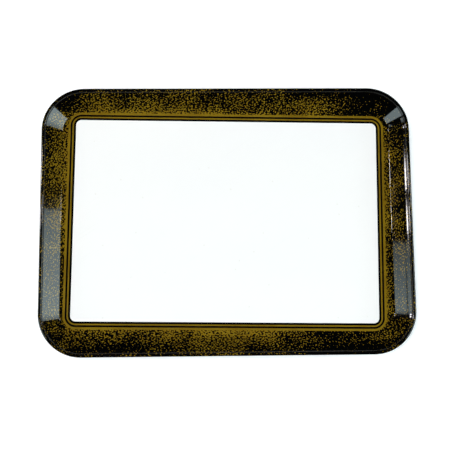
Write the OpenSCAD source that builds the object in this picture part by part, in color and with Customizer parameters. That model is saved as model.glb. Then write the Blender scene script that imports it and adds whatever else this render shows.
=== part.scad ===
// Lithographed tinplate serving tray with a wired rim.
// One pressed sheet makes the floor, the sloping wall and the rolled rim, which closes
// round a wire hoop. The print is a thin film on the sheet's upper side: a white
// panel, four plain lines round it, and a speckled border that runs up the wall
// and right round the rolled rim.
// Origin: middle of the underside, where the tray stands. +X along the length, +Z up.

/* [Tray] */
// Overall length
tray_l = 400; // [300:5:500]
// Overall width
tray_w = 290; // [220:5:400]
// Height of the rim above the table
tray_h = 17; // [13:0.5:22]
// Corner radius of the outline, seen from above
corner_r = 46; // [38:1:60]
// Slope of the wall, in degrees. These slopes have exact six-figure sines and cosines,
// so that the flat walls run into their bends with no step.
wall_angle = 41.219386; // [36.869898, 41.219386, 48.780614, 53.130102]

/* [Sheet] */
// Thickness of the tinplate
sheet_t = 0.35; // [0.3:0.05:0.5]
// Thickness of the printed film
film_t = 0.1; // [0.05:0.05:0.15]
// Radius of the bend between floor and wall, on the printed side
cove_r = 2; // [1:0.1:3]
// Radius of the small inward bend between wall and roll, on the printed side
neck_r = 1; // [0.6:0.1:2]

/* [Rolled rim] */
// Diameter of the wire hoop inside the roll
wire_d = 3.2; // [2:0.1:4]
// Clearance between the wire and the sheet rolled round it
wire_fit = 0.05; // [0.03:0.01:0.1]
// How far the sheet wraps round the wire, in degrees
roll_wrap = 310; // [240:5:320]
// Gap between the hoop's two butted ends, at the middle of the back edge
butt_gap = 0.6; // [0.2:0.1:2]

/* [Print] */
// Length of the white panel
panel_l = 332.2; // [250:0.1:340]
// Width of the white panel
panel_w = 221.5; // [180:0.1:230]
// Corner radius of the white panel
panel_r = 6; // [4:0.5:12]
// Width of the black line next to the panel
inner_line_w = 1.9; // [1:0.1:3]
// Width of the gold line
gold_line_w = 2; // [1:0.1:3]
// Width of the outer black line
outer_line_w = 1.6; // [1:0.1:3]
// Width of the plain gold band outside the lines
gold_band_w = 2.6; // [1:0.1:4]
// Turn of the print on the sheet, in degrees: it was pressed slightly out of register
print_turn = -0.92; // [-1:0.01:1]
// Shift of the print along the length
print_x = -1; // [-2:0.1:2]
// Shift of the print along the width
print_y = 1; // [-2:0.1:2]

/* [Hidden] */
$fn = 96;

skin_t = sheet_t + film_t;               // sheet and film together
wire_r = wire_d / 2;
roll_r = wire_r + wire_fit + skin_t;     // printed side of the rolled rim
roll_c = [corner_r - roll_r, tray_h - roll_r];
corner_x = tray_l / 2 - corner_r;        // corner centres, seen from above
corner_y = tray_w / 2 - corner_r;

// In a section through a wall, x runs outward from the corner centre and y is height.
// The neck bend sits level with the middle of the roll, and the straight wall touches
// the neck and the cove from below.
neck_c = [roll_c[0] - roll_r - neck_r, roll_c[1]];
bends_rise = neck_c[1] - (skin_t + cove_r);
wall_l = (bends_rise + (cove_r - neck_r) * cos(wall_angle)) / sin(wall_angle);
bends_run = wall_l * cos(wall_angle) + (cove_r - neck_r) * sin(wall_angle);
foot_r = neck_c[0] - bends_run;          // corner radius at the foot of the wall

// Corner radii of the printed lines, from the panel outward
line_r1 = panel_r + inner_line_w;
line_r2 = line_r1 + gold_line_w;
line_r3 = line_r2 + outer_line_w;
line_r4 = line_r3 + gold_band_w;

// A layer's section is drawn as a chain. Each link starts at [0, 0] heading along +x with
// the printed side on y = 0 and the layer under it, and its children carry on from its end.
// $d0 and $d1 are the depths under the printed side at which the layer begins and ends.

module straight(l) {
    translate([0, -$d1])
        square([l, $d1 - $d0]);
    translate([l, 0])
        children();
}

// Everything to one side of the y axis, with corners on the axis where a ring crosses it,
// so that the ring is cut exactly there
module half_plane(r0, r1, side) {
    reach = 2 * r1;
    crossings = [-reach, -r1, -r0, r0, r1, reach];
    polygon([
        for (y = crossings) [0, y],
        [side * reach, reach],
        [side * reach, -reach]
    ]);
}

// The part of a ring that is right of the y axis and left of the same axis turned by an angle
module ring_sector(r0, r1, angle) {
    difference() {
        circle(r1);
        circle(r0);
        half_plane(r0, r1, -1);
        rotate(angle) half_plane(r0, r1, 1);
    }
}

// Bends toward the printed side, by less than 180 degrees
module bend_up(r, angle) {
    translate([0, r]) {
        ring_sector(r + $d0, r + $d1, angle);
        rotate(angle) translate([0, -r])
            children();
    }
}

// Bends away from the printed side, by less than 180 degrees
module bend_down(r, angle) {
    translate([0, -r]) {
        ring_sector(r - $d1, r - $d0, -angle);
        rotate(-angle) translate([0, r])
            children();
    }
}

// Section from the corner centre out to the end of the roll
module layer_section() {
    translate([0, skin_t])
        straight(foot_r)
        bend_up(cove_r, wall_angle)
        straight(wall_l)
        bend_up(neck_r, 90 - wall_angle)
        bend_down(roll_r, 90)
        bend_down(roll_r, 90)
        bend_down(roll_r, roll_wrap - 180);
}

// Sweeps a section round a rounded rectangle with its corner centres at x, y
module sweep_round(x, y) {
    for (turn = [0, 180]) rotate(turn) {
        translate([x, y, 0]) rotate([90, 0, 0]) linear_extrude(2 * y) children();
        translate([-x, y, 0]) rotate(90) rotate([90, 0, 0]) linear_extrude(2 * x) children();
        translate([x, y, 0]) rotate_extrude(angle = 90) children();
        translate([-x, y, 0]) rotate(90) rotate_extrude(angle = 90) children();
    }
}

// A layer over the whole sheet, from depth d0 to depth d1 under the printed side
module layer(d0, d1) {
    sweep_round(corner_x, corner_y) layer_section($d0 = d0, $d1 = d1);
    translate([-corner_x, -corner_y, skin_t - d1])
        cube([2 * corner_x, 2 * corner_y, d1 - d0]);
}

// Places what is printed on the floor
module on_floor() {
    translate([print_x, print_y, 0]) rotate(print_turn) children();
}

// A printed line between corner radii r0 and r1, concentric with the panel
module printed_line(r0, r1) {
    on_floor() sweep_round(panel_l / 2 - panel_r, panel_w / 2 - panel_r)
        translate([r0, sheet_t]) square([r1 - r0, film_t]);
}

// A full rounded rectangle with the panel's corner centres, from height z0 to z1
module printed_area(r, z0, z1) {
    x = panel_l / 2 - panel_r;
    y = panel_w / 2 - panel_r;
    on_floor() {
        sweep_round(x, y) translate([0, z0]) square([r, z1 - z0]);
        translate([-x, -y, z0]) cube([2 * x, 2 * y, z1 - z0]);
    }
}

module tray_pan() {
    color("silver") layer(film_t, skin_t);
}

module rim_wire() {
    color("gray") difference() {
        sweep_round(corner_x, corner_y) translate(roll_c) circle(wire_r);
        translate([0, tray_w / 2, tray_h / 2])
            cube([butt_gap, 4 * corner_r, 2 * tray_h], center = true);
    }
}

module white_panel() {
    color("white") printed_area(panel_r, sheet_t, skin_t);
}

module inner_black_line() {
    color("black") printed_line(panel_r, line_r1);
}

module gold_line() {
    color("darkgoldenrod") printed_line(line_r1, line_r2);
}

module outer_black_line() {
    color("black") printed_line(line_r2, line_r3);
}

module gold_band() {
    color("darkgoldenrod") printed_line(line_r3, line_r4);
}

module border_print() {
    color([0.16, 0.12, 0.05]) difference() {
        layer(0, film_t);
        printed_area(line_r4, 0, tray_h);
    }
}

tray_pan();
rim_wire();
white_panel();
inner_black_line();
gold_line();
outer_black_line();
gold_band();
border_print();
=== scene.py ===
"""Looks for the printed tinplate serving tray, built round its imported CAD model.

The pan and its printed films are one developed sheet: a section that runs from the floor, up the
wall and round the rolled rim, swept round a rounded rectangle. Every point knows where it lay on
the flat sheet before pressing, so the print is drawn in those flat coordinates and bends with the
metal. Lengths are in millimetres until a mesh is made, and so are the cells of the printed and
tinplate textures. The heights of bumps, the lights and the studio are in metres.
"""

import math

import bmesh
import bpy
from mathutils import Matrix, Vector, noise


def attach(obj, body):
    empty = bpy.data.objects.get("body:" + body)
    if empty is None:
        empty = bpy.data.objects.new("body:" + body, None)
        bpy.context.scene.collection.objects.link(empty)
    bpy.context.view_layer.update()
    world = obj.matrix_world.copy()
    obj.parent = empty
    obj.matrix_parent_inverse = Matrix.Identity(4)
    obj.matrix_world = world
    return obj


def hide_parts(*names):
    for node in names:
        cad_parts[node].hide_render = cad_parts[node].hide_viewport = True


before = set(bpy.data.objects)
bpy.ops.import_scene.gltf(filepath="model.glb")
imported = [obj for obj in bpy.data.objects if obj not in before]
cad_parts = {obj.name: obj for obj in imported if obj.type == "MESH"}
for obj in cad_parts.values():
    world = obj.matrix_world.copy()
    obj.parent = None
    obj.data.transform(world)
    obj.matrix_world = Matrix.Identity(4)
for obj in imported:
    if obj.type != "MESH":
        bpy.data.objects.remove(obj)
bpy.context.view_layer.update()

MM = 0.001
ROOT = "root"

# ---------------------------------------------------------------- sizes, as in the CAD (mm)
TRAY_L, TRAY_W, TRAY_H = 400.0, 290.0, 17.0
CORNER_R = 46.0
WALL_ANGLE = math.radians(41.219386)
SHEET_T, FILM_T = 0.35, 0.1
SKIN_T = SHEET_T + FILM_T
NECK_R = 1.0
WIRE_R, WIRE_FIT = 1.6, 0.05
ROLL_R = WIRE_R + WIRE_FIT + SKIN_T
ROLL_WRAP = math.radians(310.0)
PANEL_L, PANEL_W, PANEL_R = 332.2, 221.5, 6.0
INNER_LINE_W, GOLD_LINE_W, OUTER_LINE_W, GOLD_BAND_W = 1.9, 2.0, 1.6, 2.6
LINE_R1 = PANEL_R + INNER_LINE_W
LINE_R2 = LINE_R1 + GOLD_LINE_W
LINE_R3 = LINE_R2 + OUTER_LINE_W
LINE_R4 = LINE_R3 + GOLD_BAND_W
PRINT_TURN = math.radians(-0.92)
PRINT_SHIFT = Vector((-1.0, 1.0))

# ---------------------------------------------------------------- where the looks leave the CAD (mm)
COVE_R = 3.0  # the bend at the wall's foot, which is 2 mm in the CAD
# The black lines are drawn this much wider on each side. It isn't seen in the photo: it makes up
# for the picture's pixel filter, which lets the white beside a thin line bleed into it.
LINE_EXTRA = 0.22
CURL = 0.13  # how far the wall curls inward at its top, a guess that widens the highlight there
CURL_BELOW, CURL_ABOVE = 3.2, 0.85  # and how far below and above that place the curl reaches
WALL_WAVE, FLOOR_WAVE, FLOOR_CROWN = 0.035, 0.05, 0.16  # heights of the metal's unevenness

CORNER_X, CORNER_Y = TRAY_L / 2 - CORNER_R, TRAY_W / 2 - CORNER_R
PANEL_X, PANEL_Y = PANEL_L / 2 - PANEL_R, PANEL_W / 2 - PANEL_R
ROLL_C = Vector((CORNER_R - ROLL_R, TRAY_H - ROLL_R))
NECK_C = Vector((ROLL_C.x - ROLL_R - NECK_R, ROLL_C.y))
BENDS_RISE = NECK_C.y - (SKIN_T + COVE_R)
WALL_LEN = (BENDS_RISE + (COVE_R - NECK_R) * math.cos(WALL_ANGLE)) / math.sin(WALL_ANGLE)
FOOT_R = NECK_C.x - WALL_LEN * math.cos(WALL_ANGLE) - (COVE_R - NECK_R) * math.sin(WALL_ANGLE)

# ---------------------------------------------------------------- fineness of the meshes
SIDE_STEP = 4.0  # mm along the straight sides
CORNER_STEPS, LINE_CORNER_STEPS = 44, 24  # round each corner of the tray and of the print
COVE_STEPS, WALL_STEPS, NECK_STEPS, ROLL_STEPS = 8, 14, 5, 44  # along the section
BORDER_STEPS = 5  # over the border's strip of the floor
HALVINGS = 40  # in the search for the border's inner edge
SHARP_ANGLE = math.radians(35)
WELD = 1e-7  # points nearer than this, in metres, are one


# ---------------------------------------------------------------- section of the sheet
def section():
    """Points on the printed side from the wall's foot to the end of the roll, as
    (outward, height, normal outward, normal up, length along the sheet)."""
    rows = []
    s = FOOT_R
    for i in range(COVE_STEPS + 1):
        a = WALL_ANGLE * i / COVE_STEPS
        n = Vector((-math.sin(a), math.cos(a)))
        c = Vector((FOOT_R, SKIN_T + COVE_R))
        rows.append((*(c - COVE_R * n), *n, s + COVE_R * a))
    s += COVE_R * WALL_ANGLE
    start = Vector(rows[-1][:2])
    n = Vector((-math.sin(WALL_ANGLE), math.cos(WALL_ANGLE)))
    along = Vector((n.y, -n.x))
    for i in range(1, WALL_STEPS + 1):
        t = WALL_LEN * i / WALL_STEPS
        rows.append((*(start + along * t), *n, s + t))
    s += WALL_LEN
    turn = math.pi / 2 - WALL_ANGLE
    for i in range(1, NECK_STEPS + 1):
        a = WALL_ANGLE + turn * i / NECK_STEPS
        n = Vector((-math.sin(a), math.cos(a)))
        rows.append((*(NECK_C - NECK_R * n), *n, s + NECK_R * turn * i / NECK_STEPS))
    s += NECK_R * turn
    for i in range(1, ROLL_STEPS + 1):
        a = math.pi - ROLL_WRAP * i / ROLL_STEPS
        n = Vector((math.cos(a), math.sin(a)))
        rows.append((*(ROLL_C + ROLL_R * n), *n, s + ROLL_R * ROLL_WRAP * i / ROLL_STEPS))
    return rows


SECTION = section()
WALL_TOP_S = FOOT_R + COVE_R * WALL_ANGLE + WALL_LEN


def columns(cx, cy, corner_steps):
    """(base point, outward direction) once round a rounded rectangle, anticlockwise."""
    out = []
    for k, (sx, sy) in enumerate(((1, 1), (-1, 1), (-1, -1), (1, -1))):
        corner = Vector((sx * cx, sy * cy))
        nxt = Vector(((-cx, cy), (-cx, -cy), (cx, -cy), (cx, cy))[k])
        for i in range(corner_steps):
            a = math.pi / 2 * (k + i / corner_steps)
            out.append((corner.copy(), Vector((math.cos(a), math.sin(a)))))
        u = Vector(((0, 1), (-1, 0), (0, -1), (1, 0))[k])
        n = max(1, round((nxt - corner).length / SIDE_STEP))
        for i in range(n):
            out.append((corner.lerp(nxt, i / n), u.copy()))
    return out


def smooth(a, b, x):
    """0 at a, 1 at b, and a gentle step between them."""
    t = min(1.0, max(0.0, (x - a) / (b - a)))
    return t * t * (3 - 2 * t)


def floor_lift(x, y):
    """Slight unevenness of the pressed floor: never below the flat, nothing at the foot."""
    foot_x, foot_y = CORNER_X + FOOT_R, CORNER_Y + FOOT_R
    edge = min(smooth(foot_x, foot_x - 30, abs(x)), smooth(foot_y, foot_y - 30, abs(y)))
    broad = noise.noise(Vector((x / 95, y / 80, 3.7)))
    fine = noise.noise(Vector((x / 38, y / 41, 9.1)))
    wave = broad + 0.35 * fine
    crown = FLOOR_CROWN * smooth(1.0, 0.0, abs(x) / 175) * smooth(1.0, 0.0, abs(y) / 120)
    return edge * (FLOOR_WAVE + FLOOR_WAVE * max(-1.0, wave)) + crown


def wall_swell(x, y, s):
    """The wall's slight waviness and its curl, only ever toward the printed side."""
    inside = smooth(FOOT_R + 2, FOOT_R + 8, s) * smooth(WALL_TOP_S - 1, WALL_TOP_S - 7, s)
    wave = noise.noise(Vector((x / 46, y / 46, 17.3)))
    if s < WALL_TOP_S:
        curl = CURL * (max(0.0, s - WALL_TOP_S + CURL_BELOW) / CURL_BELOW) ** 2
    else:
        curl = CURL * smooth(WALL_TOP_S + CURL_ABOVE, WALL_TOP_S, s)
    return inside * WALL_WAVE * (1 + wave) + curl * (1 + 0.6 * wave)


def sheet_point(base, u, row, depth):
    """A point of the swept sheet at a depth under its printed side, with its flat coordinates."""
    r, z, nr, nz, s = row
    flat = base + u * s
    swell = wall_swell(flat.x, flat.y, s) - depth
    r, z = r + nr * swell, z + nz * swell
    return Vector((base.x + u.x * r, base.y + u.y * r, z)), flat


def floor_point(p, depth):
    """A point of the floor at a depth under its printed side."""
    return Vector((p.x, p.y, SKIN_T - depth + floor_lift(p.x, p.y)))


def to_sheet(p):
    """From the print's own axes to the tray's."""
    c, s = math.cos(PRINT_TURN), math.sin(PRINT_TURN)
    return Vector((c * p.x - s * p.y, s * p.x + c * p.y)) + PRINT_SHIFT


def to_print(p):
    """From the tray's axes to the print's own."""
    c, s = math.cos(PRINT_TURN), math.sin(PRINT_TURN)
    q = p - PRINT_SHIFT
    return Vector((c * q.x + s * q.y, -s * q.x + c * q.y))


def from_window(p):
    """Distance outward from the outer edge of the gold band, in the print's axes."""
    q = to_print(p)
    dx, dy = abs(q.x) - PANEL_X, abs(q.y) - PANEL_Y
    outside = math.hypot(max(dx, 0), max(dy, 0))
    return outside + min(max(dx, dy), 0) - LINE_R4


# ---------------------------------------------------------------- meshes
def make(name, points, flats, bands, faces):
    """A smooth-shaded object from points in mm. Each point keeps its flat coordinates and its
    distance outward from the gold band, for the materials to read."""
    mesh = bpy.data.meshes.new(name)
    mesh.from_pydata([p * MM for p in points], [], faces)
    layer = mesh.attributes.new("flat", "FLOAT_VECTOR", "POINT")
    layer.data.foreach_set("vector", [c for f in flats for c in (f.x, f.y, 0.0)])
    layer = mesh.attributes.new("from_band", "FLOAT", "POINT")
    layer.data.foreach_set("value", bands)
    bm = bmesh.new()
    bm.from_mesh(mesh)
    bmesh.ops.remove_doubles(bm, verts=bm.verts, dist=WELD)
    bmesh.ops.recalc_face_normals(bm, faces=bm.faces)
    bm.to_mesh(mesh)
    bm.free()
    mesh.shade_smooth()
    mesh.set_sharp_from_angle(angle=SHARP_ANGLE)
    mesh.update()
    obj = bpy.data.objects.new(name, mesh)
    bpy.context.scene.collection.objects.link(obj)
    return obj


def sweep(loops, closed):
    """Joins one list of (point, flat, band) per column into points, flats, bands and faces.
    Each list is a closed outline or an open one."""
    n, m = len(loops), len(loops[0])
    points, flats, bands = (list(part) for part in zip(*(q for loop in loops for q in loop)))
    faces = []
    for i in range(n):
        a, b = i * m, (i + 1) % n * m
        for j in range(m if closed else m - 1):
            k = (j + 1) % m
            faces.append((a + j, a + k, b + k, b + j))
    return points, flats, bands, faces


def closed_ring(name, loops):
    """A ring whose cross-section is a closed outline."""
    return make(name, *sweep(loops, closed=True))


def grid_faces(nx, ny, start, flip):
    """Faces of a grid of points that begins at point number start."""
    out = []
    for i in range(nx):
        for j in range(ny):
            a = start + i * (ny + 1) + j
            q = (a, a + ny + 1, a + ny + 2, a + 1)
            out.append(tuple(reversed(q)) if flip else q)
    return out


def closed_plate(name, cx, cy, cols, loop_of, place):
    """A solid plate: its rim is swept round the columns from the top's inner rectangle to the
    bottom's, and two grids close it. loop_of gives a column's (point, flat, band) list, which
    begins on the top rectangle and ends on the bottom one."""
    points, flats, bands, faces = sweep([loop_of(b, u) for b, u in cols], closed=False)
    nx = max(1, round(2 * cx / SIDE_STEP))
    ny = max(1, round(2 * cy / SIDE_STEP))
    for top in (True, False):
        start = len(points)
        for i in range(nx + 1):
            for j in range(ny + 1):
                p, flat = place(Vector((-cx + 2 * cx * i / nx, -cy + 2 * cy * j / ny)), top)
                points.append(p)
                flats.append(flat)
                bands.append(0.0)
        faces += grid_faces(nx, ny, start, not top)
    return make(name, points, flats, bands, faces)


def build_pan():
    """The pressed sheet under the films, floor to raw edge of the roll."""
    radii = [FOOT_R * t for t in (0, 0.2, 0.4, 0.6, 0.8, 0.93)]

    def loop(b, u):
        out = []
        for r in radii:
            p = b + u * r
            out.append((floor_point(p, FILM_T), p, 0.0))
        for row in SECTION:
            p, flat = sheet_point(b, u, row, FILM_T)
            out.append((p, flat, 0.0))
        for row in reversed(SECTION):
            p, flat = sheet_point(b, u, row, SKIN_T)
            out.append((p, flat, 0.0))
        for r in reversed(radii):
            p = b + u * r
            out.append((floor_point(p, SKIN_T), p, 0.0))
        return out

    def place(p, top):
        return floor_point(p, FILM_T if top else SKIN_T), p

    cols = columns(CORNER_X, CORNER_Y, CORNER_STEPS)
    return closed_plate("pressed_pan", CORNER_X, CORNER_Y, cols, loop, place)


def window_edge(b, u):
    """How far out along u from b the border begins, at the gold band's outer edge."""
    low, high = 0.0, FOOT_R
    for _ in range(HALVINGS):
        mid = (low + high) / 2
        if from_window(b + u * mid) < 0:
            low = mid
        else:
            high = mid
    return (low + high) / 2


def build_border():
    """The speckled film: floor outside the gold band, wall, and right round the roll."""
    loops = []
    for b, u in columns(CORNER_X, CORNER_Y, CORNER_STEPS):
        window = window_edge(b, u)
        top, under = [], []
        for i in range(BORDER_STEPS):
            p = b + u * (window + (FOOT_R - window) * i / BORDER_STEPS)
            band = max(0.0, from_window(p))
            top.append((floor_point(p, 0), p, band))
            under.append((floor_point(p, FILM_T), p, band))
        foot_band = max(0.0, from_window(b + u * FOOT_R))
        for row in SECTION:
            band = foot_band + row[4] - FOOT_R
            top.append((*sheet_point(b, u, row, 0), band))
            under.append((*sheet_point(b, u, row, FILM_T), band))
        loops.append(top + list(reversed(under)))
    return closed_ring("speckled_border", loops)


def build_line(name, r0, r1):
    """A printed line between two corner radii, in the print's own axes."""
    middle = (r0 + r1) / 2
    outline = [(r, 0) for r in (r0, middle, r1)] + [(r, FILM_T) for r in (r1, middle, r0)]
    loops = []
    for b, u in columns(PANEL_X, PANEL_Y, LINE_CORNER_STEPS):
        loop = []
        for r, depth in outline:
            p = to_sheet(b + u * r)
            loop.append((floor_point(p, depth), p, r - LINE_R4))
        loops.append(loop)
    return closed_ring(name, loops)


def build_panel():
    """The white film, up to the inner black line."""
    def loop(b, u):
        out = []
        for depth, radii in ((0, (0, 0.5, 1)), (FILM_T, (1, 0.5, 0))):
            for t in radii:
                p = to_sheet(b + u * (PANEL_R - LINE_EXTRA) * t)
                out.append((floor_point(p, depth), p, 0.0))
        return out

    def place(p, top):
        q = to_sheet(p)
        return floor_point(q, 0 if top else FILM_T), q

    cols = columns(PANEL_X, PANEL_Y, LINE_CORNER_STEPS)
    return closed_plate("white_panel_film", PANEL_X, PANEL_Y, cols, loop, place)


# ---------------------------------------------------------------- material nodes
class Net:
    """Short calls for one material's nodes. A value may be a number, a colour or a socket."""

    def __init__(self, name):
        self.mat = bpy.data.materials.new(name)
        self.mat.use_nodes = True
        self.tree = self.mat.node_tree
        self.bsdf = self.tree.nodes["Principled BSDF"]

    def put(self, socket, value):
        if isinstance(value, bpy.types.NodeSocket):
            self.tree.links.new(value, socket)
        elif isinstance(value, tuple) and len(value) == 3 and socket.type == "RGBA":
            socket.default_value = (*value, 1.0)
        else:
            socket.default_value = value

    def node(self, kind, **settings):
        n = self.tree.nodes.new(kind)
        for key, value in settings.items():
            setattr(n, key, value)
        return n

    def attribute(self, name, out="Vector"):
        n = self.node("ShaderNodeAttribute", attribute_name=name, attribute_type="GEOMETRY")
        return n.outputs[out]

    def math(self, op, a, b=0.0):
        n = self.node("ShaderNodeMath", operation=op)
        for socket, value in zip(n.inputs, (a, b)):
            self.put(socket, value)
        return n.outputs[0]

    def add(self, a, b):
        return self.math("ADD", a, b)

    def mul(self, a, b):
        return self.math("MULTIPLY", a, b)

    def mix(self, factor, a, b):
        """Between two colours."""
        n = self.node("ShaderNodeMix", data_type="RGBA")
        self.put(n.inputs[0], factor)
        self.put(n.inputs[6], a)
        self.put(n.inputs[7], b)
        return n.outputs[2]

    def span(self, value, a0, a1, b0=0.0, b1=1.0, kind="SMOOTHSTEP"):
        """b0 where the value is a0, b1 where it is a1, and held beyond them."""
        n = self.node("ShaderNodeMapRange", interpolation_type=kind)
        for socket, v in zip(n.inputs, (value, a0, a1, b0, b1)):
            self.put(socket, v)
        return n.outputs[0]

    def stretched(self, vector, turn, along, across, offset=0.0):
        """The vector in axes turned by an angle, in cells of two different lengths."""
        spin = self.node("ShaderNodeVectorRotate", rotation_type="Z_AXIS")
        self.put(spin.inputs["Vector"], vector)
        spin.inputs["Angle"].default_value = math.radians(-turn)
        m = self.node("ShaderNodeMapping")
        self.put(m.inputs["Vector"], spin.outputs[0])
        m.inputs["Scale"].default_value = (1 / along, 1 / across, 1.0)
        m.inputs["Location"].default_value = (offset, offset * 0.7, offset * 1.3)
        return m.outputs[0]

    def noise(self, vector, scale=1.0, detail=1.0, rough=0.5, distortion=0.0, flat=True):
        n = self.node("ShaderNodeTexNoise", noise_dimensions="2D" if flat else "3D")
        self.put(n.inputs["Vector"], vector)
        n.inputs["Scale"].default_value = scale
        n.inputs["Detail"].default_value = detail
        n.inputs["Roughness"].default_value = rough
        n.inputs["Distortion"].default_value = distortion
        return n.outputs["Fac"]

    def blend(self, factor, a, b):
        """Between two numbers."""
        n = self.node("ShaderNodeMix", data_type="FLOAT")
        for socket, value in zip(n.inputs[:1] + n.inputs[2:4], (factor, a, b)):
            self.put(socket, value)
        return n.outputs[0]

    def dots(self, vector, turn, along, across, offset):
        """Distance to the nearest point of a jittered lattice, and a colour for each cell."""
        n = self.node("ShaderNodeTexVoronoi", voronoi_dimensions="2D")
        self.put(n.inputs["Vector"], self.stretched(vector, turn, along, across, offset))
        n.inputs["Scale"].default_value = 1.0
        return n

    def grain(self, vector, turn, offset):
        """Evenly spaced worms drawn out one way: a fine noise on a jittered lattice of dots."""
        along, across = GRAIN_ALONG, GRAIN_ACROSS
        worms = self.noise(self.stretched(vector, turn, along, across, offset), detail=0.0)
        lattice = self.dots(vector, turn, along * 1.12, across * 1.12, offset + 5.3)
        dots = self.span(lattice.outputs["Distance"], 0.0, 0.9, 0.5, -0.5, "LINEAR")
        cells = self.stretched(vector, turn, along * 2.6, across * 2.6, offset)
        drift = self.span(self.noise(cells, detail=0.0), 0.0, 1.0, 0.05, -0.05, "LINEAR")
        worms = self.add(self.mul(worms, 0.72), 0.14)
        return self.add(worms, self.add(self.mul(dots, 0.46), drift))

    def bump(self, height, distance):
        n = self.node("ShaderNodeBump")
        n.inputs["Distance"].default_value = distance
        n.inputs["Strength"].default_value = 1.0
        self.put(n.inputs["Height"], height)
        return n.outputs[0]

    def finish(self, **sockets):
        """Sets the shader's sockets and returns the material."""
        for name, value in sockets.items():
            self.put(self.bsdf.inputs[name.replace("_", " ")], value)
        return self.mat


BLACK_INK = (0.0006, 0.0007, 0.0006)
GOLD_INK = (0.226, 0.135, 0.0062)
GOLD_DEEP = (0.186, 0.106, 0.0048)
OLIVE_INK = (0.190, 0.148, 0.018)
GOLD_METAL = 0.10  # a guess: as if the gold ink carried a little bronze powder
VARNISH = dict(Specular_IOR_Level=0.5, IOR=1.5)
VARNISH_RELIEF, PANEL_RELIEF = 0.000012, 0.000010  # bump heights over the inks and the panel
TIN_RELIEF, WIRE_RELIEF = 0.00001, 0.00003
GRAIN_ALONG, GRAIN_ACROSS = 2.1, 1.35  # size of the speckle's worms
INK_EDGE = 0.015  # softness of the speckle's edges, as a share of the grain's range
INK_HEIGHT = 0.14  # how far a spot of ink lifts the varnish, as a share of its relief


def varnish_height(net, flat):
    """Orange peel and a few dust pips in the stoving varnish."""
    peel = net.noise(net.stretched(flat, 0, 5.5, 5.5, 3.0), detail=2.0)
    pips = net.dots(flat, 0, 9.0, 9.0, 1.0)
    pip = net.span(pips.outputs["Distance"], 0.03, 0.0)
    return net.add(peel, net.mul(pip, 0.6))


def varnish_roughness(net, flat, low=0.03, high=0.065):
    """A glossy varnish with a broad haze and the streaks of a wipe along its length."""
    haze = net.noise(net.stretched(flat, 20, 60, 34, 8.0), detail=3.0)
    wipe = net.noise(net.stretched(flat, 12, 70, 2.2, 5.0), detail=2.0)
    return net.span(net.add(net.mul(haze, 0.7), net.mul(wipe, 0.3)), 0.35, 0.65, low, high)


def gold_colour(net, flat):
    """Gold ink, darker in broad patches and olive in small ones."""
    fine = net.noise(net.stretched(flat, 0, 2.4, 2.4, 31.0), detail=2.0)
    broad = net.noise(net.stretched(flat, 0, 38, 30, 12.0), detail=1.0)
    base = net.mix(net.span(broad, 0.38, 0.62), GOLD_INK, GOLD_DEEP)
    return net.mix(net.span(fine, 0.5, 0.72, 0.0, 0.55), base, OLIVE_INK)


# Where the border's gold gathers and thins: centre, half width, half depth, and by how much
CLOUDS = (
    (-62, 128, 62, 40, 0.12),
    (5, -128, 85, 40, 0.14),
    (-130, -135, 40, 26, -0.06),
    (172, 132, 62, 44, -0.50),
    (118, -128, 60, 44, -0.34),
    (138, -119, 55, 9, -0.30),
    (-172, 142, 40, 26, -0.16),
    (-179, -70, 9, 62, -0.36),
    (182, -60, 8, 62, -0.22),
    (-188, 60, 14, 60, 0.12),
)


def mezzotint(net, flat, x, y):
    """Three grains, each drawn out one way, taking turns round the border."""
    level = net.grain(flat, 3, 2.0)
    rising = net.grain(flat, 56, 14.0)
    falling = net.grain(flat, -48, 23.0)
    drift = net.noise(net.stretched(flat, 0, 42, 30, 7.0), detail=1.0)
    near_drift, far_drift = net.mul(drift, 60.0), net.mul(drift, 80.0)
    at_sides = net.span(net.add(net.math("ABSOLUTE", x), near_drift), 188.0, 200.0)
    at_right = net.span(net.add(x, near_drift), 110.0, 122.0)
    back_right = net.mul(at_right, net.span(y, 0.0, 10.0))
    front_right = net.mul(net.span(net.add(x, far_drift), 100.0, 112.0), net.span(y, -100.0, -110.0))
    grain = net.blend(net.math("MAXIMUM", at_sides, back_right), level, rising)
    return net.blend(front_right, grain, falling)


def gold_amount(net, flat, band, x, y):
    """Most gold beside the band, thinning up the wall and drifting in clouds."""
    near = net.span(band, 0.0, 2.2, 0.16, 0.0, "LINEAR")
    fall = net.span(band, 2.0, 26.0, 0.46, 0.0, "LINEAR")
    clouds = net.noise(net.stretched(flat, 8, 34, 20, 41.0), detail=2.0)
    amount = net.add(net.add(near, fall), net.span(clouds, 0.3, 0.7, -0.21, 0.20, "LINEAR"))
    for cx, cy, rx, ry, gain in CLOUDS:
        dx = net.math("DIVIDE", net.math("SUBTRACT", x, cx), rx)
        dy = net.math("DIVIDE", net.math("SUBTRACT", y, cy), ry)
        away = net.math("SQRT", net.add(net.mul(dx, dx), net.mul(dy, dy)))
        amount = net.add(amount, net.span(away, 1.25, 0.35, 0.0, gain))
    return amount


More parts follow.
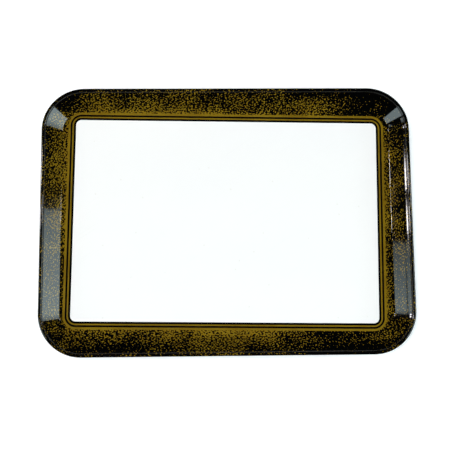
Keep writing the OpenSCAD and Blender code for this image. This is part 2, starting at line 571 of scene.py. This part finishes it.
def speckled_print():
    """Gold wherever the grain stands above a threshold, which is lower where more is wanted."""
    net = Net("speckled_print_varnished")
    flat = net.attribute("flat")
    band = net.attribute("from_band", "Fac")
    xyz = net.node("ShaderNodeSeparateXYZ")
    net.put(xyz.inputs[0], flat)
    x, y = xyz.outputs[0], xyz.outputs[1]
    amount = gold_amount(net, flat, band, x, y)
    threshold = net.span(amount, -0.5, 1.0, 0.91, 0.34, "LINEAR")
    over = net.math("SUBTRACT", mezzotint(net, flat, x, y), threshold)
    ink = net.span(over, -INK_EDGE, INK_EDGE)
    height = net.add(varnish_height(net, flat), net.mul(ink, INK_HEIGHT))
    return net.finish(
        Base_Color=net.mix(ink, BLACK_INK, gold_colour(net, flat)),
        Metallic=net.mul(ink, GOLD_METAL),
        Roughness=varnish_roughness(net, flat),
        Normal=net.bump(height, VARNISH_RELIEF),
        **VARNISH,
    )


def gold_print():
    """The plain gold line and band, with a few places starved of ink."""
    net = Net("gold_print_varnished")
    flat = net.attribute("flat")
    colour = gold_colour(net, flat)
    starve = net.noise(net.stretched(flat, 0, 1.7, 1.7, 19.0), detail=2.0)
    colour = net.mix(net.span(starve, 0.66, 0.78, 0.0, 0.6), colour, BLACK_INK)
    return net.finish(
        Base_Color=colour,
        Metallic=GOLD_METAL,
        Roughness=varnish_roughness(net, flat),
        Normal=net.bump(varnish_height(net, flat), VARNISH_RELIEF),
        **VARNISH,
    )


def black_print():
    """The two black lines."""
    net = Net("black_print_varnished")
    flat = net.attribute("flat")
    tone = net.noise(net.stretched(flat, 0, 2.0, 2.0, 27.0), detail=3.0)
    colour = net.mix(net.span(tone, 0.45, 0.8), BLACK_INK, (0.006, 0.006, 0.005))
    return net.finish(
        Base_Color=colour,
        Roughness=varnish_roughness(net, flat),
        Normal=net.bump(varnish_height(net, flat), VARNISH_RELIEF),
        **VARNISH,
    )


def white_print():
    """The panel: white ink with faint specks and scuffs."""
    net = Net("white_print_varnished")
    flat = net.attribute("flat")
    tint = net.noise(net.stretched(flat, 0, 120, 90, 6.0), detail=2.0)
    colour = net.mix(net.span(tint, 0.35, 0.65), (0.900, 0.872, 0.862), (0.908, 0.878, 0.862))
    specks = net.dots(flat, 0, 26.0, 26.0, 11.0)
    speck = net.span(specks.outputs["Distance"], 0.045, 0.015)
    some = net.span(net.noise(net.stretched(flat, 0, 21, 21, 61.0)), 0.56, 0.6)
    colour = net.mix(net.mul(net.mul(speck, some), 0.14), colour, (0.42, 0.36, 0.22))
    scuff = net.noise(net.stretched(flat, 34, 90, 0.7, 3.0), detail=2.0, distortion=0.2)
    colour = net.mix(net.span(scuff, 0.72, 0.8, 0.0, 0.12), colour, (0.62, 0.63, 0.62))
    return net.finish(
        Base_Color=colour,
        Roughness=varnish_roughness(net, flat, 0.08, 0.16),
        Normal=net.bump(varnish_height(net, flat), PANEL_RELIEF),
        **VARNISH,
    )


def tinplate():
    """The underside, which the photo doesn't show: bare tinned steel, rolled along its length,
    under a thin clear lacquer."""
    net = Net("tinplate_lacquered")
    flat = net.attribute("flat")
    grain = net.noise(net.stretched(flat, 0, 60, 0.35, 2.0), detail=4.0, rough=0.6)
    flake = net.dots(flat, 9, 5.5, 4.0, 4.0)
    tone = net.node("ShaderNodeSeparateColor")
    net.put(tone.inputs[0], flake.outputs["Color"])
    colour = net.mix(net.span(grain, 0.3, 0.7), (0.46, 0.455, 0.44), (0.60, 0.595, 0.575))
    colour = net.mix(net.mul(tone.outputs[0], 0.16), colour, (0.40, 0.40, 0.40))
    stain = net.noise(net.stretched(flat, 25, 55, 40, 9.0), detail=4.0, rough=0.6)
    colour = net.mix(net.span(stain, 0.5, 0.75, 0.0, 0.35), colour, (0.44, 0.37, 0.22))
    fine = net.noise(net.stretched(flat, 0, 7, 7, 15.0), detail=4.0, rough=0.7)
    rust = net.span(fine, 0.70, 0.78, 0.0, 0.55)
    colour = net.mix(rust, colour, (0.20, 0.085, 0.035))
    scuff = net.noise(net.stretched(flat, 63, 70, 0.5, 7.0), detail=2.0, distortion=0.3)
    scuffs = net.span(scuff, 0.64, 0.72)
    rough = net.add(net.span(grain, 0.3, 0.7, 0.26, 0.36), net.mul(scuffs, 0.2))
    height = net.add(net.mul(grain, 0.5), net.mul(scuffs, -0.8))
    return net.finish(
        Base_Color=colour,
        Metallic=net.span(rust, 0.0, 0.55, 0.92, 0.2, "LINEAR"),
        Roughness=rough,
        Normal=net.bump(height, TIN_RELIEF),
        Coat_Weight=0.25,
        Coat_Roughness=0.2,
    )


def wire_steel():
    """Drawn steel wire with a little rust."""
    net = Net("wire_drawn_steel")
    coords = net.node("ShaderNodeTexCoord").outputs["Object"]
    draw = net.noise(coords, scale=900.0, detail=3.0, flat=False)
    spots = net.noise(coords, scale=160.0, detail=4.0, rough=0.65, flat=False)
    colour = net.mix(net.span(draw, 0.3, 0.7), (0.30, 0.30, 0.295), (0.45, 0.445, 0.43))
    rust = net.span(spots, 0.55, 0.68, 0.0, 0.7)
    colour = net.mix(rust, colour, (0.16, 0.07, 0.03))
    return net.finish(
        Base_Color=colour,
        Metallic=net.span(rust, 0.0, 0.7, 0.95, 0.2, "LINEAR"),
        Roughness=net.span(draw, 0.3, 0.7, 0.32, 0.48),
        Normal=net.bump(draw, WIRE_RELIEF),
    )


def floor_paint():
    """Near-white sweep. It glows, and more so further away, so that it stays even round the tray
    and out to the horizon. Reflections see it nearly black, so that the varnish shows the lamps."""
    net = Net("studio_floor")
    coords = net.node("ShaderNodeTexCoord").outputs["Object"]
    tone = net.noise(coords, scale=3.0, detail=3.0)
    colour = net.mix(net.span(tone, 0.3, 0.7), (0.95, 0.95, 0.95), (0.97, 0.97, 0.97))
    in_gloss = net.node("ShaderNodeLightPath").outputs["Is Glossy Ray"]
    away = net.node("ShaderNodeVectorMath", operation="LENGTH")
    net.put(away.inputs[0], coords)
    glow = net.span(away.outputs["Value"], 0.5, 3.0, 0.22, 0.90)
    return net.finish(
        Base_Color=net.mix(in_gloss, colour, (0.07, 0.075, 0.08)),
        Roughness=0.9,
        Specular_IOR_Level=0.1,
        Emission_Color=(1.0, 1.0, 1.0),
        Emission_Strength=net.mul(net.math("SUBTRACT", 1.0, in_gloss), glow),
    )


# ---------------------------------------------------------------- the object
def dress(obj, material, slot, *nodes):
    """Gives an object its material, hangs it under the root body and hides the CAD nodes it stands
    in for.
    """
    obj.data.materials.clear()
    obj.data.materials.append(material)
    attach(obj, ROOT)
    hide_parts(*nodes)


speckled, gold, black = speckled_print(), gold_print(), black_print()
dress(build_pan(), tinplate(), "tinplate", "tray_pan")
dress(build_border(), speckled, "speckled_print", "border_print")
dress(build_panel(), white_print(), "white_print", "white_panel")
PRINTED_LINES = (
    ("inner_black_line", PANEL_R - LINE_EXTRA, LINE_R1 + LINE_EXTRA, black, "black_print"),
    ("gold_line", LINE_R1 + LINE_EXTRA, LINE_R2 - LINE_EXTRA, gold, "gold_print"),
    ("outer_black_line", LINE_R2 - LINE_EXTRA, LINE_R3 + LINE_EXTRA, black, "black_print"),
    ("gold_band", LINE_R3 + LINE_EXTRA, LINE_R4, gold, "gold_print"),
)
for node, inner, outer, material, slot_name in PRINTED_LINES:
    dress(build_line(node + "_film", inner, outer), material, slot_name, node)

steel = wire_steel()
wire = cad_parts["rim_wire"]
for slot in wire.material_slots:
    slot.material = steel


# ---------------------------------------------------------------- camera
# Fitted to the photo: the lens in mm, the camera's turns, and where the middle of the tray's printed
# floor lies in the camera's own axes
LENS, SENSOR = 64.3852, 36.0
CAM_TILT, CAM_ROLL, CAM_YAW = (math.radians(a) for a in (-7.807, 0.612, 1.594))
FLOOR_FROM_CAMERA = Vector((-3.285, 9.455, -896.78))

roll, tilt = Matrix.Rotation(CAM_ROLL, 3, "Z"), Matrix.Rotation(CAM_TILT, 3, "X")
to_world = (roll @ tilt @ Matrix.Rotation(CAM_YAW, 3, "Y")).transposed()
place = to_world @ -FLOOR_FROM_CAMERA + Vector((0, 0, SKIN_T))
cam_data = bpy.data.cameras.new("camera")
cam_data.sensor_width = SENSOR
cam_data.lens = LENS
cam_data.clip_start, cam_data.clip_end = 0.01, 60.0
camera = bpy.data.objects.new("camera", cam_data)
camera.matrix_world = Matrix.Translation(place * MM) @ to_world.to_4x4()
bpy.context.scene.collection.objects.link(camera)
bpy.context.scene.camera = camera


# ---------------------------------------------------------------- studio (m)
def softbox(name, centre, size, radiance, colour=(1, 1, 1), in_gloss=True, fade=None):
    """An area light that faces the tray, seen in reflections or only as fill."""
    data = bpy.data.lights.new(name, "AREA")
    data.shape = "RECTANGLE"
    data.size, data.size_y = size
    data.energy = 4 * radiance * size[0] * size[1]  # Blender's measure of an area light
    data.color = colour
    obj = bpy.data.objects.new(name, data)
    obj.location = centre
    obj.rotation_euler = (-Vector(centre)).to_track_quat("-Z", "Y").to_euler()
    obj.visible_camera = False
    obj.visible_glossy = in_gloss
    if fade:
        fade_along(data, *fade)
    bpy.context.scene.collection.objects.link(obj)
    return obj


def fade_along(light, edge, reach):
    """Brightness rising from edge at the start of the light's first side to full at reach, a
    share of that side, which may lie beyond its end."""
    light.use_nodes = True
    tree = light.node_tree
    place = tree.nodes.new("ShaderNodeNewGeometry")
    split = tree.nodes.new("ShaderNodeSeparateXYZ")
    level = tree.nodes.new("ShaderNodeMapRange")
    level.inputs["From Max"].default_value = reach
    level.inputs["To Min"].default_value = edge
    tree.links.new(place.outputs["Parametric"], split.inputs[0])
    tree.links.new(split.outputs[0], level.inputs["Value"])
    tree.links.new(level.outputs[0], tree.nodes["Emission"].inputs["Strength"])


def upright_softbox(name, x, ys, zs, radiance, colour, fade=None):
    """A softbox standing straight up beside the tray, facing it. Its first side runs along ys."""
    (y0, y1), (z0, z1) = ys, zs
    size = (abs(y1 - y0), z1 - z0)
    centre = (x, (y0 + y1) / 2, (z0 + z1) / 2)
    obj = softbox(name, centre, size, radiance, colour, fade=fade)
    away, along = Vector((math.copysign(1, x), 0, 0)), Vector((0, math.copysign(1, y1 - y0), 0))
    obj.rotation_euler = Matrix((along, away.cross(along), away)).transposed().to_euler()
    return obj


# The walls face inward, so each side wall reflects the lights across the tray from it
COOL, PALE = (0.79, 0.97, 1.0), (1.0, 0.97, 1.0)
BOX_X = 1.2
TALL, LOW = (0.25, 1.05), (0.25, 0.58)  # heights of the softboxes' feet and tops
upright_softbox("softbox_right", BOX_X, (0.25, -0.72), TALL, 4.4, COOL, fade=(0.5, 0.35))
upright_softbox("softbox_left_near", -BOX_X, (0.15, -0.07), LOW, 3.7, COOL, fade=(0.25, 1.43))
upright_softbox("softbox_left_far", -BOX_X, (-0.16, -0.69), TALL, 3.2, COOL)
softbox("overhead_right", (1.0, -0.45, 1.7), (1.2, 1.0), 1.0, (0.75, 0.95, 1.0), in_gloss=False)
softbox("fill", (-0.75, 0.05, 2.2), (2.4, 2.4), 2.55, in_gloss=False)

# Under the floor: these reach the tray's underside only when the floor is hidden
softbox("under_left", (-0.9, -0.6, -1.5), (1.6, 1.6), 2.2)
softbox("under_right", (1.2, 0.8, -1.4), (1.2, 1.2), 1.1)
softbox("under_middle", (0.0, 0.1, -2.2), (2.6, 2.6), 0.7)

# Small bright lamps that only glint in the varnish: a low and a high pair far to the left, and
# one to the right
LAMP_X = -4.8
LOW_Z, HIGH_Z = (1.12, 1.60), (3.30, 4.00)
LOW_YS = ((1.25, 0.99), (0.905, 0.655))
HIGH_YS = ((1.16, 1.455), (0.81, 1.015))
lamps = []
for i, ys in enumerate(LOW_YS, 1):
    name = f"low_lamp_left_{i}"
    lamps.append(upright_softbox(name, LAMP_X, ys, LOW_Z, 30, PALE, fade=(0.0, 0.6)))
for i, ys in enumerate(HIGH_YS, 1):
    lamps.append(upright_softbox(f"high_lamp_left_{i}", LAMP_X, ys, HIGH_Z, 52, PALE))
lamps.append(softbox("lamp_right", (1.05, 0.28, 1.08), (0.09, 0.12), 30.0))
for lamp in lamps:
    lamp.visible_diffuse = False

# The sky is nearly white to the camera and gives almost no light
SKY_LIGHT, SKY_SEEN = 0.01, 0.95
world = bpy.data.worlds.new("studio")
world.use_nodes = True
bpy.context.scene.world = world
sky = world.node_tree.nodes["Background"]
sky.inputs["Color"].default_value = (1, 1, 1, 1)
light_path = world.node_tree.nodes.new("ShaderNodeLightPath")
level = world.node_tree.nodes.new("ShaderNodeMapRange")
level.inputs["To Min"].default_value = SKY_LIGHT
level.inputs["To Max"].default_value = SKY_SEEN
world.node_tree.links.new(light_path.outputs["Is Camera Ray"], level.inputs["Value"])
world.node_tree.links.new(level.outputs[0], sky.inputs["Strength"])

FLOOR_SIZE, FLOOR_Z = 40.0, -0.0002  # just under the tray, so that the two don't touch
bpy.ops.mesh.primitive_plane_add(size=FLOOR_SIZE, location=(0, 0, FLOOR_Z))
floor = bpy.context.object
floor.name = "studio_floor"
floor.data.materials.append(floor_paint())

bpy.context.scene.view_settings.view_transform = "Standard"
